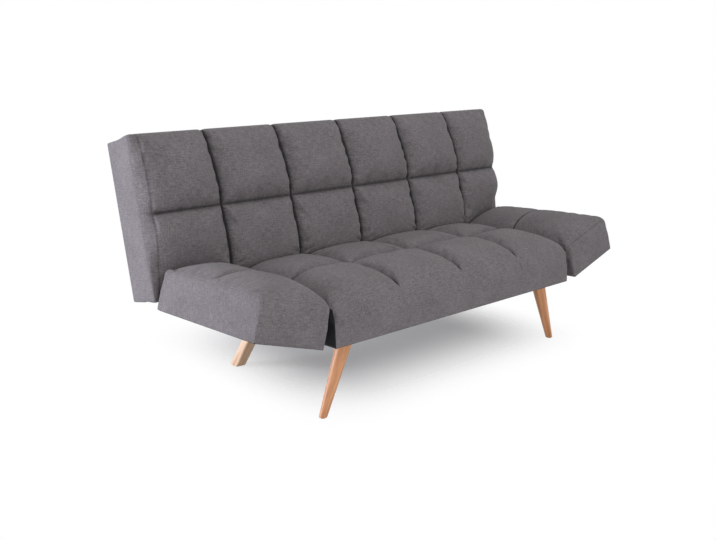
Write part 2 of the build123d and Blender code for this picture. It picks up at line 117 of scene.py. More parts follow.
# Painted shade along the sewn lines and edges, a darker colour standing in for the shade in their creases:
# strengths and widths
GROOVE_GAIN, ROW_SHADE, END_SHADE = 1.4, 0.8, 0.45
SEAT_GROOVE, COLUMN_GROOVE, ROW_GROOVE, END_GROOVE, ARM_GROOVE, EDGE_WIDTH = 8, 9, 8, 5, 7, 5
EDGE_LINE = {"left": 0.1, "right": 0.3}

# Cloth: pressure, share of spare cloth, how far a point may move in metres, and frames
PRESSURE, SPARE, MOST_MOVE, CLOTH_FRAMES = 3.5, 0.02, 0.012, 20

MM_PER_M = 1000

# Frames of the slabs: origin and the directions across, along and out of the sleeping side
X = np.array((1.0, 0.0, 0.0))
seat_o = np.array(SEAT_REAR)
seat_y = np.array((0.0, math.cos(PITCH), -math.sin(PITCH)))
seat_z = np.array((0.0, math.sin(PITCH), math.cos(PITCH)))
pivot = seat_o + PIVOT_ON_SEAT[0] * seat_y + PIVOT_ON_SEAT[1] * seat_z
back_y = np.array((0.0, math.sin(LEAN), math.cos(LEAN)))
back_z = np.array((0.0, -math.cos(LEAN), math.sin(LEAN)))
back_o = pivot - PIVOT_ON_BACK[0] * back_y - PIVOT_ON_BACK[1] * back_z
arm_x = X * math.cos(TILT) + seat_z * math.sin(TILT)
arm_z = seat_z * math.cos(TILT) - X * math.sin(TILT)
arm_o = seat_o + ARM_HINGE[0] * X + ARM_HINGE[1] * seat_z - ARM_HINGE[1] * arm_z
SEAT_FRAME = (seat_o, X, seat_y, seat_z)
BACK_FRAME = (back_o, X, back_y, back_z)
ARM_FRAME = (arm_o, arm_x, seat_y, arm_z)


def spaced(stops, step, pull=0.5):
    """Grid lines through the given stops, closer together near each stop."""
    out = [stops[0]]
    for a, b in zip(stops, stops[1:]):
        n = max(2, round((b - a) / step))
        t = np.arange(1, n + 1) / n
        out += list(a + (b - a) * (t - pull * np.sin(2 * np.pi * t) / (2 * np.pi)))
    return np.array(out)


def smooth(t):
    t = np.clip(t, 0.0, 1.0)
    return t * t * (3 - 2 * t)


def fade(d, start, width):
    """Rises smoothly from 0 at the start to 1 a width further on."""
    return smooth((d - start) / width)


def swell(d, reach):
    """Rises from 0 at an edge to 1 at the given distance from it."""
    t = np.clip(d / reach, 0.0, 1.0)
    return 1 - (1 - t) ** 2


def level(x, points, soft=14.0):
    """Height along a row through the given points, with the corners between them rounded off."""
    at, height = np.array(points, float).T
    return np.mean([np.interp(x + k, at, height) for k in np.linspace(-soft, soft, 9)], axis=0)


def pillow(x, stops, sewn):
    """Fullness across one direction: 0 on each sewn line and 1 in the middle of a panel."""
    full = np.ones_like(x)
    for i in range(len(stops) - 1):
        a, b = stops[i], stops[i + 1]
        inside = (x >= a) & (x <= b)
        half = (b - a) / 2
        near = np.full_like(x, np.inf)
        if sewn[i]:
            near = np.minimum(near, x - a)
        if sewn[i + 1]:
            near = np.minimum(near, b - x)
        t = np.clip(near / half, 0.0, 1.0)
        full = np.where(inside, (1 - (1 - t) ** PANEL_FLATNESS) ** PANEL_STEEPNESS, full)
    return full


def distance(x, lines):
    """Distance from the nearest of the given lines."""
    return np.min(np.abs(np.asarray(x)[:, None] - np.asarray(lines)[None, :]), axis=1)


def drawn(x, lines, depth, reach):
    """How far the thread pulls the cover in beside its sewn lines."""
    return depth * (1 - smooth(distance(x, lines) / reach))


def near_line(x, lines, reach):
    """Shade beside sewn lines: 1 on a line and 0 from the given distance on."""
    return np.clip(1 - distance(x, lines) / reach, 0.0, 1.0)


def gathers(u, v, points, height, period, reach):
    """Small pleats that fan out upwards from points where the cover is drawn together."""
    out = np.zeros_like(u)
    for x, y in points:
        r = np.hypot(u - x, v - y)
        turn = np.degrees(np.arctan2(v - y, np.abs(u - x)))
        fan = np.cos(np.radians(turn * 360 / period)) * fade(turn, 0, 12) * smooth((85 - turn) / 20)
        out += height * fan * fade(r, 4, 14) * (1 - fade(r, 20, reach - 20))
    return out


def puckers(u, v, seams, height, period, reach):
    """Small lumps that the thread leaves along each side of a sewn line."""
    out = np.zeros_like(u)
    for i, x in enumerate(seams):
        d = u - x
        wave = np.sin(2 * np.pi * v / period + 1.7 * i + np.where(d > 0, 2.1, 0.0))
        out += height * wave * np.exp(-((np.abs(d) - reach) / reach) ** 2)
    return out


class Shell:
    """A closed box of quads with its own grid on the sleeping side and on the four sides."""

    def __init__(self, us, vs, ws, low_round, high_round):
        nu, nv, nw = len(us), len(vs), len(ws)
        uu, vv = np.meshgrid(us, vs, indexing="ij")
        top = np.stack([uu, vv, np.full_like(uu, ws[0])], -1).reshape(-1, 3)
        index = np.arange(nu * nv).reshape(nu, nv)
        ring = list(index[:, 0]) + list(index[-1, 1:]) + list(index[-2::-1, -1]) + list(index[0, -2:0:-1])
        side = ["front"] * (nu - 1) + ["right"] * (nv - 1) + ["rear"] * (nu - 1) + ["left"] * (nv - 1)
        count = len(ring)
        rows = [ring]
        points = [top]
        for w in ws[1:]:
            hoop = top[ring].copy()
            hoop[:, 2] = w
            start = sum(len(p) for p in points)
            rows.append(list(range(start, start + count)))
            points.append(hoop)
        self.box = np.concatenate(points)
        faces, kinds = [], []
        for i in range(nu - 1):
            for j in range(nv - 1):
                faces.append((index[i, j], index[i + 1, j], index[i + 1, j + 1], index[i, j + 1]))
                kinds.append("top")
        for k in range(nw - 1):
            for m in range(count):
                n = (m + 1) % count
                faces.append((rows[k][m], rows[k + 1][m], rows[k + 1][n], rows[k][n]))
                kinds.append(side[m])
        last = rows[-1]
        front, rear = last[:nu], last[nu + nv - 2:nu + nv - 2 + nu][::-1]
        right, left = last[nu - 1:nu + nv - 1], last[nu + nv + nu - 3:] + [last[0]]
        for i in range(nu - 1):
            if i == 0:
                faces.append([front[0]] + left[::-1][1:-1] + [rear[0], rear[1], front[1]])
            elif i == nu - 2:
                faces.append([front[i], rear[i]] + right[::-1][:-1] + [front[i + 1]])
            else:
                faces.append([front[i], rear[i], rear[i + 1], front[i + 1]])
            kinds.append("under")
        self.faces, self.kinds = faces, kinds
        self.top_count = nu * nv
        low = np.array((us[0], vs[0], ws[-1]))
        high = np.array((us[-1], vs[-1], ws[0]))
        self.low, self.high = low, high
        soft = fade(self.box[:, 2:], RAIL_TOP, ROUNDS_FADE)
        corner = np.array((RAIL_CORNER, RAIL_CORNER, 0.0))
        flat = np.array((1.0, 1.0, 0.0))
        low_round = np.where(flat, corner + (low_round - corner) * soft, low_round)
        high_round = np.where(flat, corner + (high_round - corner) * soft, high_round)
        inner = np.clip(self.box, low + low_round, high - high_round)
        size = np.where(self.box < inner, low_round, high_round)
        d = (self.box - inner) / size
        reach = np.linalg.norm(d, axis=1, keepdims=True)
        self.co = inner + d * size * np.where(reach > 1, 1 / np.maximum(reach, 1e-9), 1.0)

    def uv(self, face, kind):
        """Flat cloth coordinates of a face, in metres."""
        out = []
        for i in face:
            u, v, w = self.box[i]
            fall = self.high[2] - w
            if kind == "front":
                v = self.low[1] - fall
            elif kind == "rear":
                v = self.high[1] + fall
            elif kind == "left":
                u = self.low[0] - fall
            elif kind == "right":
                u = self.high[0] + fall
            out.append((u / MM_PER_M, v / MM_PER_M))
        return out


def to_object(shell, name, place, co, painted_shade, sides_black_for_shade):
    """Make a Blender mesh of a shell's points, given in the slab's own frame."""
    o, ex, ey, ez = place
    world = (o + co[:, :1] * ex + co[:, 1:2] * ey + co[:, 2:3] * ez) / MM_PER_M
    mesh = bpy.data.meshes.new(name)
    mesh.from_pydata([tuple(p) for p in world], [], [[int(i) for i in f] for f in shell.faces])
    layer = mesh.uv_layers.new(name="weave")
    k = 0
    for face, kind in zip(shell.faces, shell.kinds):
        for uv in shell.uv(face, kind):
            layer.data[k].uv = uv
            k += 1
    rims = {True: set(), False: set()}
    for face, kind in zip(shell.faces, shell.kinds):
        edges = zip(face, [*face[1:], face[0]])
        rims[kind == "under"].update(frozenset((int(a), int(b))) for a, b in edges)
    sharp = rims[True] & rims[False]
    crease = mesh.attributes.new("crease_edge", "FLOAT", "EDGE")
    crease.data.foreach_set("value", [float(frozenset(e.vertices) in sharp) for e in mesh.edges])
    # Painted shade along the sewn lines and edges, kept on each point for the fabric's colour
    shade = mesh.attributes.new("painted_shade", "FLOAT", "POINT")
    shade.data.foreach_set("value", painted_shade.astype(np.float32))
    # Faces on the listed sides take the black lining as painted shade in the gaps; the undersides take it as
    # the real dust cloth
    for polygon, kind in zip(mesh.polygons, shell.kinds):
        polygon.use_smooth = True
        if kind in sides_black_for_shade or kind == "under":
            polygon.material_index = 1
    obj = bpy.data.objects.new(name, mesh)
    scene.collection.objects.link(obj)
    return obj


def inflate(obj, pins):
    """Blow the cover up as cloth held along its seams, and let no point move further than allowed."""
    count = len(obj.data.vertices)
    before = np.zeros(count * 3, np.float32)
    obj.data.vertices.foreach_get("co", before)
    before = before.reshape(-1, 3)
    group = obj.vertex_groups.new(name="held")
    for weight in sorted(set(np.round(pins, 2))):
        if weight > 0:
            points = [int(i) for i in np.nonzero(np.round(pins, 2) == weight)[0]]
            group.add(points, float(weight), "REPLACE")
    cloth = obj.modifiers.new("cloth", "CLOTH")
    s = cloth.settings
    s.quality = 6
    s.mass = 0.15
    s.tension_stiffness = s.compression_stiffness = 12
    s.shear_stiffness = 6
    s.bending_stiffness = 0.6
    s.air_damping = 2
    s.use_pressure = True
    s.uniform_pressure_force = PRESSURE
    s.vertex_group_mass = "held"
    s.shrink_min = -SPARE
    s.shrink_max = -SPARE
    s.effector_weights.gravity = 0
    cloth.collision_settings.use_collision = False
    cloth.point_cache.frame_start = 1
    cloth.point_cache.frame_end = CLOTH_FRAMES
    for f in range(1, CLOTH_FRAMES + 1):
        scene.frame_set(f)
    held = obj.evaluated_get(bpy.context.evaluated_depsgraph_get())
    after = np.zeros(count * 3, np.float32)
    held.data.vertices.foreach_get("co", after)
    move = after.reshape(-1, 3) - before
    size = np.linalg.norm(move, axis=1, keepdims=True)
    move *= np.where(size > MOST_MOVE, MOST_MOVE / np.maximum(size, 1e-9), 1.0)
    obj.modifiers.remove(cloth)
    scene.frame_set(1)
    obj.vertex_groups.remove(group)
    obj.data.vertices.foreach_set("co", (before + move).ravel())
    obj.data.update()


def raise_by(obj, height, direction):
    """Lift each point by its height in millimetres."""
    co = np.zeros(len(height) * 3, np.float32)
    obj.data.vertices.foreach_get("co", co)
    co = co.reshape(-1, 3) + height[:, None] * direction / MM_PER_M
    obj.data.vertices.foreach_set("co", co.ravel())
    obj.data.update()


def refine(obj):
    sub = obj.modifiers.new("subdivision", "SUBSURF")
    sub.levels = sub.render_levels = 1


# Materials
def material(name):
    m = bpy.data.materials.new(name)
    m.use_nodes = True
    tree = m.node_tree
    return m, tree, tree.nodes["Principled BSDF"]


def math_node(tree, operation, a, b=None):
    n = tree.nodes.new("ShaderNodeMath")
    n.operation = operation
    for i, x in enumerate((a, b)):
        if x is None:
            continue
        if isinstance(x, (int, float)):
            n.inputs[i].default_value = x
        else:
            tree.links.new(x, n.inputs[i])
    return n.outputs[0]


def weighted(tree, *terms):
    """Sum of values, each multiplied by its weight."""
    total = None
    for value, weight in terms:
        part = math_node(tree, "MULTIPLY", value, weight)
        total = part if total is None else math_node(tree, "ADD", total, part)
    return total


def ramp(tree, factor, stops):
    n = tree.nodes.new("ShaderNodeValToRGB")
    while len(n.color_ramp.elements) < len(stops):
        n.color_ramp.elements.new(0.5)
    for e, (at, colour) in zip(n.color_ramp.elements, stops):
        e.position = at
        e.color = (*colour, 1)
    tree.links.new(factor, n.inputs[0])
    return n.outputs[0]


def noise(tree, vector, scale, detail=3.0, rough=0.55):
    n = tree.nodes.new("ShaderNodeTexNoise")
    n.inputs["Scale"].default_value = scale
    n.inputs["Detail"].default_value = detail
    n.inputs["Roughness"].default_value = rough
    tree.links.new(vector, n.inputs["Vector"])
    return n.outputs["Fac"]


def scaled(tree, vector, scale):
    n = tree.nodes.new("ShaderNodeMapping")
    n.inputs["Scale"].default_value = scale
    tree.links.new(vector, n.inputs["Vector"])
    return n.outputs[0]


def bump(tree, bsdf, height, strength, depth):
    n = tree.nodes.new("ShaderNodeBump")
    n.inputs["Strength"].default_value = strength
    n.inputs["Distance"].default_value = depth
    tree.links.new(height, n.inputs["Height"])
    tree.links.new(n.outputs[0], bsdf.inputs["Normal"])


def vary_roughness(tree, bsdf, value, low, high):
    n = tree.nodes.new("ShaderNodeMapRange")
    n.inputs["To Min"].default_value = low
    n.inputs["To Max"].default_value = high
    tree.links.new(value, n.inputs["Value"])
    tree.links.new(n.outputs[0], bsdf.inputs["Roughness"])


def mix_colour(tree, kind, factor, a, b):
    n = tree.nodes.new("ShaderNodeMix")
    n.data_type = "RGBA"
    n.blend_type = kind
    if isinstance(factor, (int, float)):
        n.inputs["Factor"].default_value = factor
    else:
        tree.links.new(factor, n.inputs["Factor"])
    for socket, x in ((n.inputs[6], a), (n.inputs[7], b)):
        if isinstance(x, tuple):
            socket.default_value = (*x, 1)
        else:
            tree.links.new(x, socket)
    return n.outputs[2]


# Period of the weave's bump, in metres
YARN_PITCH = 0.0022


def cover_fabric():
    """Heathered plain weave: slubs along warp and weft, and a fine bump of crossing yarns."""
    m, tree, bsdf = material("cover_fabric")
    uv = tree.nodes.new("ShaderNodeUVMap")
    uv.uv_map = "weave"
    flat = uv.outputs[0]
    weft = noise(tree, scaled(tree, flat, (45, 250, 1)), 1.0, 4.0, 0.75)
    warp = noise(tree, scaled(tree, flat, (250, 45, 1)), 1.0, 4.0, 0.75)
    fleck = noise(tree, scaled(tree, flat, (330, 330, 1)), 1.0, 2.0, 0.6)
    cloudy = noise(tree, scaled(tree, flat, (9, 9, 1)), 1.0, 3.0, 0.5)
    cloud = math_node(tree, "SUBTRACT", cloudy, 0.5)
    blend = weighted(tree, (weft, 0.4), (warp, 0.3), (fleck, 0.3), (cloud, 0.10))
    colour = ramp(tree, blend, [
        (0.34, (0.064, 0.0580, 0.0610)),
        (0.50, (0.145, 0.1315, 0.1380)),
        (0.66, (0.264, 0.2410, 0.2520)),
    ])
    # Painted shade: the colour is multiplied towards near black along the sewn lines and the arms' edges,
    # where the creases fall into shade
    painted_shade = tree.nodes.new("ShaderNodeAttribute")
    painted_shade.attribute_name = "painted_shade"
    colour = mix_colour(tree, "MULTIPLY", painted_shade.outputs["Fac"], colour, (0.07, 0.066, 0.075))
    tree.links.new(colour, bsdf.inputs["Base Color"])
    split = tree.nodes.new("ShaderNodeSeparateXYZ")
    tree.links.new(flat, split.inputs[0])
    turns = 2 * math.pi / YARN_PITCH
    across = math_node(tree, "SINE", math_node(tree, "MULTIPLY", split.outputs[0], turns))
    along = math_node(tree, "SINE", math_node(tree, "MULTIPLY", split.outputs[1], turns))
    weave = math_node(tree, "MULTIPLY", across, along)
    height = math_node(tree, "ADD", math_node(tree, "MULTIPLY", weave, 0.35), blend)
    bump(tree, bsdf, height, 0.55, 0.0012)
    bsdf.inputs["Roughness"].default_value = 0.92
    bsdf.inputs["Specular IOR Level"].default_value = 0.2
    bsdf.inputs["Sheen Weight"].default_value = 0.12
    bsdf.inputs["Sheen Roughness"].default_value = 0.5
    return m


def object_coordinates(tree):
    return tree.nodes.new("ShaderNodeTexCoord").outputs["Object"]


def dust_cloth():
    """Black spun non-woven with pressed dots."""
    m, tree, bsdf = material("dust_cloth")
    at = object_coordinates(tree)
    fibre = noise(tree, scaled(tree, at, (900, 900, 900)), 1.0, 4.0, 0.7)
    dots = tree.nodes.new("ShaderNodeTexVoronoi")
    dots.inputs["Scale"].default_value = 480
    tree.links.new(at, dots.inputs["Vector"])
    colour = ramp(tree, fibre, [(0.35, (0.008, 0.008, 0.009)), (0.65, (0.022, 0.022, 0.024))])
    tree.links.new(colour, bsdf.inputs["Base Color"])
    bump(tree, bsdf, math_node(tree, "ADD", fibre, dots.outputs["Distance"]), 0.3, 0.0006)
    bsdf.inputs["Roughness"].default_value = 0.85
    bsdf.inputs["Specular IOR Level"].default_value = 0.25
    return m


def timber(name, axis, dark, mid, light, rough, ring=95.0):
    """Wood with its grain along the given axis; the sign of x doesn't matter, so both sides match."""
    m, tree, bsdf = material(name)
    split = tree.nodes.new("ShaderNodeSeparateXYZ")
    tree.links.new(object_coordinates(tree), split.inputs[0])
    joined = tree.nodes.new("ShaderNodeCombineXYZ")
    tree.links.new(math_node(tree, "ABSOLUTE", split.outputs[0]), joined.inputs[0])
    tree.links.new(split.outputs[1], joined.inputs[1])
    tree.links.new(split.outputs[2], joined.inputs[2])
    along = Vector(axis).normalized()
    side = along.cross(Vector((0.31, 0.85, 0.2))).normalized()
    third = along.cross(side)
    grain = tree.nodes.new("ShaderNodeCombineXYZ")
    for i, direction in enumerate((side, third, along)):
        dot = tree.nodes.new("ShaderNodeVectorMath")
        dot.operation = "DOT_PRODUCT"
        dot.inputs[1].default_value = direction
        tree.links.new(joined.outputs[0], dot.inputs[0])
        tree.links.new(dot.outputs["Value"], grain.inputs[i])
    bands = noise(tree, scaled(tree, grain.outputs[0], (ring, ring * 0.45, 4.0)), 1.0, 3.0, 0.6)
    pores = noise(tree, scaled(tree, grain.outputs[0], (1500, 1500, 55)), 1.0, 2.0, 0.6)
    tone = weighted(tree, (bands, 0.75), (pores, 0.25))
    colour = ramp(tree, tone, [(0.34, dark), (0.5, mid), (0.66, light)])
    tree.links.new(colour, bsdf.inputs["Base Color"])
    vary_roughness(tree, bsdf, pores, rough - 0.06, rough + 0.08)
    bump(tree, bsdf, tone, 0.12, 0.0006)
    bsdf.inputs["Specular IOR Level"].default_value = 0.35
    return m


def coated_steel(name, dark, light, rough, metallic):
    m, tree, bsdf = material(name)
    at = object_coordinates(tree)
    grain = noise(tree, at, 700.0, 3.0, 0.6)
    wear = noise(tree, at, 40.0, 4.0, 0.6)
    colour = ramp(tree, weighted(tree, (grain, 0.4), (wear, 0.6)), [(0.35, dark), (0.65, light)])
    tree.links.new(colour, bsdf.inputs["Base Color"])
    vary_roughness(tree, bsdf, wear, rough - 0.08, rough + 0.1)
    bump(tree, bsdf, grain, 0.15, 0.0003)
    bsdf.inputs["Metallic"].default_value = metallic
    return m


def moulded(name, dark, light):
    m, tree, bsdf = material(name)
    grain = noise(tree, object_coordinates(tree), 1200.0, 3.0, 0.6)
    tree.links.new(ramp(tree, grain, [(0.35, dark), (0.65, light)]), bsdf.inputs["Base Color"])
    bump(tree, bsdf, grain, 0.2, 0.0003)
    bsdf.inputs["Roughness"].default_value = 0.6
    return m


def elastic_webbing():
    m, tree, bsdf = material("webbing")
    at = object_coordinates(tree)
    wave = tree.nodes.new("ShaderNodeTexWave")
    wave.inputs["Scale"].default_value = 160
    wave.inputs["Distortion"].default_value = 0.6
    tree.links.new(at, wave.inputs["Vector"])
    yarn = noise(tree, at, 700.0, 2.0, 0.6)
    tone = weighted(tree, (wave.outputs["Fac"], 0.5), (yarn, 0.5))
    colour = ramp(tree, tone, [(0.3, (0.09, 0.085, 0.08)), (0.7, (0.22, 0.21, 0.2))])
    tree.links.new(colour, bsdf.inputs["Base Color"])
    bump(tree, bsdf, tone, 0.4, 0.0008)
    bsdf.inputs["Roughness"].default_value = 0.9
    return m


fabric = cover_fabric()
lining = dust_cloth()
beech = ((0.36, 0.150, 0.062), (0.54, 0.250, 0.118), (0.68, 0.36, 0.19))
# Painted light: a paler copy of the beech for the rear legs, standing in for the brighter light on them
painted_lit_beech = ((0.44, 0.26, 0.15), (0.60, 0.40, 0.26), (0.72, 0.53, 0.37))
pine = ((0.42, 0.29, 0.17), (0.60, 0.45, 0.28), (0.70, 0.56, 0.38))
brown_board = ((0.22, 0.14, 0.085), (0.33, 0.22, 0.14), (0.42, 0.30, 0.20))
front_wood = timber("beech_front", (0.387, 0.0, -1.0), *beech, 0.42)
rear_wood_painted_lit = timber("beech_rear_painted_lit", (0.20, 0.50, -1.0), *painted_lit_beech, 0.45)
rail_wood = timber("frame_wood", (1.0, 0.0, 0.0), *pine, 0.7)
board_wood = timber("hardboard", (0.0, 1.0, 0.0), *brown_board, 0.75, 300.0)
black_steel = coated_steel("black_steel", (0.018, 0.018, 0.019), (0.038, 0.038, 0.040), 0.5, 0.0)
zinc_steel = coated_steel("zinc_steel", (0.48, 0.48, 0.47), (0.68, 0.68, 0.66), 0.35, 1.0)
glide_plastic = moulded("glide_plastic", (0.030, 0.027, 0.024), (0.060, 0.055, 0.050))
webbing = elastic_webbing()

BY_SLOT = {
    "cover_fabric": fabric,
    "dust_cloth": lining,
    "webbing": webbing,
    "beech": front_wood,
    "frame_wood": rail_wood,
    "hardboard": board_wood,
    "black_steel": black_steel,
    "zinc_steel": zinc_steel,
    "glide_plastic": glide_plastic,
}
for part in frame["record"]["subparts"]:
    look = BY_SLOT[part["material_slot"]]
    # The rear legs take the paler, painted-lit copy of the beech
    if part["node"].endswith("rear_leg"):
        look = rear_wood_painted_lit
    o = frame["nodes"][part["node"]]
    o.data.materials.clear()
    o.data.materials.append(look)
    # The solids have no cloth coordinates; the fabric on the rear cover lies in the back's plane
    if look is fabric:
        layer = o.data.uv_layers.new(name="weave")
        for corner in o.data.loops:
            point = np.array(o.data.vertices[corner.vertex_index].co)
            layer.data[corner.index].uv = (point @ X, point @ back_y)


# Covers: each is one fabric shell over its slab, blown up as cloth between its seams
def slab_shell(columns, rows, edge, step, rounds):
    """A shell over one slab, its points across, along and out, and which of them are on the sleeping side."""
    sides = spaced([LOWEST, RAIL_TOP, edge], step)[::-1]
    shell = Shell(spaced(columns, GRID), spaced(rows, GRID), sides, *rounds)
    u, v, w = shell.box.T
    return shell, u, v, w, np.arange(len(u)) < shell.top_count


def seat_cover():
    columns, rows = [-SEAT_HALF, *SEAT_SEAMS, SEAT_HALF], [-SEAT_DEPTH, SEAT_SEAM, 0.0]
    shell, u, v, w, top = slab_shell(columns, rows, SEAT_EDGE, SIDE_GRID, SEAT_ROUNDS)
    side, front, rear = SEAT_HALF - np.abs(u), v + SEAT_DEPTH, -v
    crown = level(front, SEAT_PROFILE) * swell(side, 120)
    full = pillow(u, columns, [0, 1, 1, 1, 0]) * pillow(v, rows, [0, 1, 0])
    puff = SEAT_PUFF * full * swell(side, 70) * swell(front, 70) * swell(rear, 70)
    pull = drawn(u, SEAT_SEAMS, *SEAT_THREAD) * fade(front, 15, 50)
    pull = np.maximum(pull, drawn(v, [SEAT_SEAM], *SEAT_THREAD))
    co = shell.co.copy()
    co[:, 2] += np.where(top, crown + puff - pull * fade(side, 0, 40), 0.0)
    co[:, 1] += REAR_BULGE * fade(w, RAIL_TOP, 60) * fade(v, -70, 70) * swell(side, 60)
    pins = np.zeros(len(u))
    pins[top & (distance(u, SEAT_SEAMS) < ON_LINE) & (front > 30)] = 1.0
    pins[top & (distance(v, [SEAT_SEAM]) < ON_LINE)] = 1.0
    pins[~top & (w <= RAIL_TOP + ON_LINE)] = 1.0
    # Painted shade along the seat's sewn lines
    painted_shade = near_line(u, SEAT_SEAMS, SEAT_GROOVE) * fade(front, 12, 30)
    painted_shade = np.maximum(painted_shade, near_line(v, [SEAT_SEAM], SEAT_GROOVE))
    painted_shade = np.where(top, np.minimum(GROOVE_GAIN * painted_shade, 1.0), 0.0)
    return shell, co, pins, painted_shade, np.zeros(len(u))


def back_cover():
    grid_columns = [-BACK_HALF, -END_SEAM, *BACK_SEAMS, END_SEAM, BACK_HALF]
    grid_rows = [0.0, PLEAT_ROW, BACK_SEAM, BACK_HEIGHT]
    shell, u, v, w, top = slab_shell(grid_columns, grid_rows, BACK_EDGE, BACK_SIDE_GRID, BACK_ROUNDS)
    columns, rows = [-BACK_HALF, *BACK_SEAMS, BACK_HALF], [0.0, BACK_SEAM, BACK_HEIGHT]
    side, low, high = BACK_HALF - np.abs(u), v, BACK_HEIGHT - v
    upper = fade(v, 108, 120)
    taper = upper * swell(side, 110) + (1 - upper) * np.clip(side / END_COLUMN, 0.0, 1.0)
    crown = level(v, BACK_PROFILE) * taper
    full = pillow(u, columns, [0, 1, 1, 1, 1, 1, 0]) * pillow(v, rows, [0, 1, 0])
    puff = BACK_PUFF * full * swell(side, 50) * swell(low - 40, 62) * swell(high, 50)
    puff *= np.where(side < END_COLUMN, DENT_PUFF + (1 - DENT_PUFF) * upper, 1.0)
    pull = drawn(u, BACK_SEAMS, *COLUMN_THREAD)
    pull = np.maximum(pull, drawn(v, [BACK_SEAM], *ROW_THREAD) * fade(side, 15, 40))
    pull = np.maximum(pull, drawn(u, END_SEAMS, *END_THREAD))
    pleats = gathers(u, v, [(x, GATHER_LEVEL) for x in BACK_SEAMS], *PLEATS)
    lumps = puckers(u, v, BACK_SEAMS, *LUMPS) * fade(high, 0, 30) * fade(low, 0, 30)
    dent = ARM_DENT * fade(np.abs(u) - 2 * COLUMN, 10, 50) * (1 - fade(v, 90, 50)) * swell(side, 60)
    co = shell.co.copy()
    co[:, 2] += np.where(top, crown + puff - pull - dent, 0.0)
    over = ~top & (w > RAIL_TOP)
    co[:, 1] += np.where(over & (v > BACK_HEIGHT - 1), -0.3, 0.0) * pull
    co[:, 1] += OVERHANG * fade(w, RAIL_TOP, 80) * fade(v, 440, 116)
    pins = np.zeros(len(u))
    pins[distance(u, BACK_SEAMS) < ON_LINE] = 1.0
    pins[top & (distance(v, [BACK_SEAM]) < ON_LINE) & (side > 30)] = 1.0
    pins[(~top & (w <= RAIL_TOP + ON_LINE)) | (side < 10) | (high < 8)] = 1.0
    # Painted shade along the back's sewn lines: darkest on the column seams, lighter on the row seam and the
    # end seams
    row = ROW_SHADE * near_line(v, [BACK_SEAM], ROW_GROOVE) * fade(side, 20, 20)
    end = END_SHADE * near_line(u, END_SEAMS, END_GROOVE)
    painted_shade = np.minimum(GROOVE_GAIN * near_line(u, BACK_SEAMS, COLUMN_GROOVE), 1.0)
    painted_shade = np.maximum(painted_shade, np.where(top, np.maximum(row, end), 0.0))
    painted_shade = np.where(top | (w > RAIL_TOP), painted_shade, 0.0)
    return shell, co, pins, painted_shade, np.where(top, pleats + lumps, 0.0)


def arm_cover(side):
    rows = [ARM_FRONT, ARM_SEAM, ARM_REAR]
    shell, u, v, w, top = slab_shell([ARM_INNER, ARM_OUTER], rows, SEAT_EDGE, SIDE_GRID, ARM_ROUNDS)
    inner, outer, front, rear = u - ARM_INNER, ARM_OUTER - u, v - ARM_FRONT, ARM_REAR - v
    t = inner / (ARM_OUTER - ARM_INNER)
    inside = 1 - np.maximum(1 - t / ARM_CREST, 0) ** INNER_SLOPE
    outside = 1 - (np.maximum(t - ARM_CREST, 0) / (1 - ARM_CREST)) ** OUTER_SLOPE
    across = np.where(t < ARM_CREST, inside, outside)
    full = pillow(v, rows, [0, 1, 0]) * swell(front, 90) * swell(rear, 90)
    pull = drawn(v, [ARM_SEAM], *ARM_THREAD) * fade(inner, 0, 25) * fade(outer, 0, 90)
    co = shell.co.copy()
    lift = OUTER_RISE[side] * t + INNER_RISE * (1 - t) - FRONT_DROP * (1 - fade(front, 0, 45))
    co[:, 2] += lift * np.clip((w - RAIL_TOP) / (SEAT_EDGE - RAIL_TOP), 0.0, 1.0)
    co[:, 2] += np.where(top, level(front, ARM_PROFILE) * across + ARM_PUFF * full * across - pull, 0.0)
    pins = np.zeros(len(u))
    pins[top & (distance(v, [ARM_SEAM]) < ON_LINE) & (outer > 20) & (inner > 20)] = 1.0
    pins[(~top & (w <= RAIL_TOP + ON_LINE)) | (outer < 8) | (front < 8)] = 1.0
    # Painted shade beside the arm's cross seam
    painted_shade = near_line(v, [ARM_SEAM], ARM_GROOVE) * fade(inner, 0, 30) * fade(outer, 0, 90)
    painted_shade = np.where(top, painted_shade, 0.0)
    # Painted shade along the arm's front and outer edges, stronger on the right arm
    edge = np.minimum(front, outer) + np.where(top, 0.0, SEAT_EDGE - w)
    painted_shade = np.maximum(painted_shade, EDGE_LINE[side] * np.clip(1 - edge / EDGE_WIDTH, 0.0, 1.0))
    return shell, co, pins, painted_shade, np.zeros(len(u))


def mirrored(place):
    """A slab's frame on the other side of the sofa."""
    flip = np.array((-1.0, 1.0, 1.0))
    return tuple(part * flip for part in place)


# The seat cover's left, right and rear sides take the black lining as painted shade, darkening the gaps beside
# the arms and behind the seat
COVERS = (
    ("seat_cover", "base", SEAT_FRAME, seat_cover(), ("seat_pad", "seat_border"), ("left", "right", "rear")),
    ("back_cover", "back", BACK_FRAME, back_cover(), ("back_pad", "back_border"), ()),
    ("right_arm_cover", "right_arm", ARM_FRAME, arm_cover("right"), ("right_arm_pad", "right_arm_border"), ()),
    ("left_arm_cover", "left_arm", mirrored(ARM_FRAME), arm_cover("left"), ("left_arm_pad", "left_arm_border"),
     ()),
)
for name, body, place, made, replaced, sides_black_for_shade in COVERS:
    shell, co, pins, painted_shade, folds = made
    if name.startswith("left"):
        shell.faces = [list(f)[::-1] for f in shell.faces]
    cover = to_object(shell, name, place, co, painted_shade, sides_black_for_shade)
    inflate(cover, pins)
    raise_by(cover, folds, place[3])
    cover.data.materials.append(fabric)
    # Second slot: the black lining, real dust cloth underneath and painted shade on the seat cover's sides
    cover.data.materials.append(lining)
    refine(cover)
    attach(cover, body)
    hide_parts(*replaced)


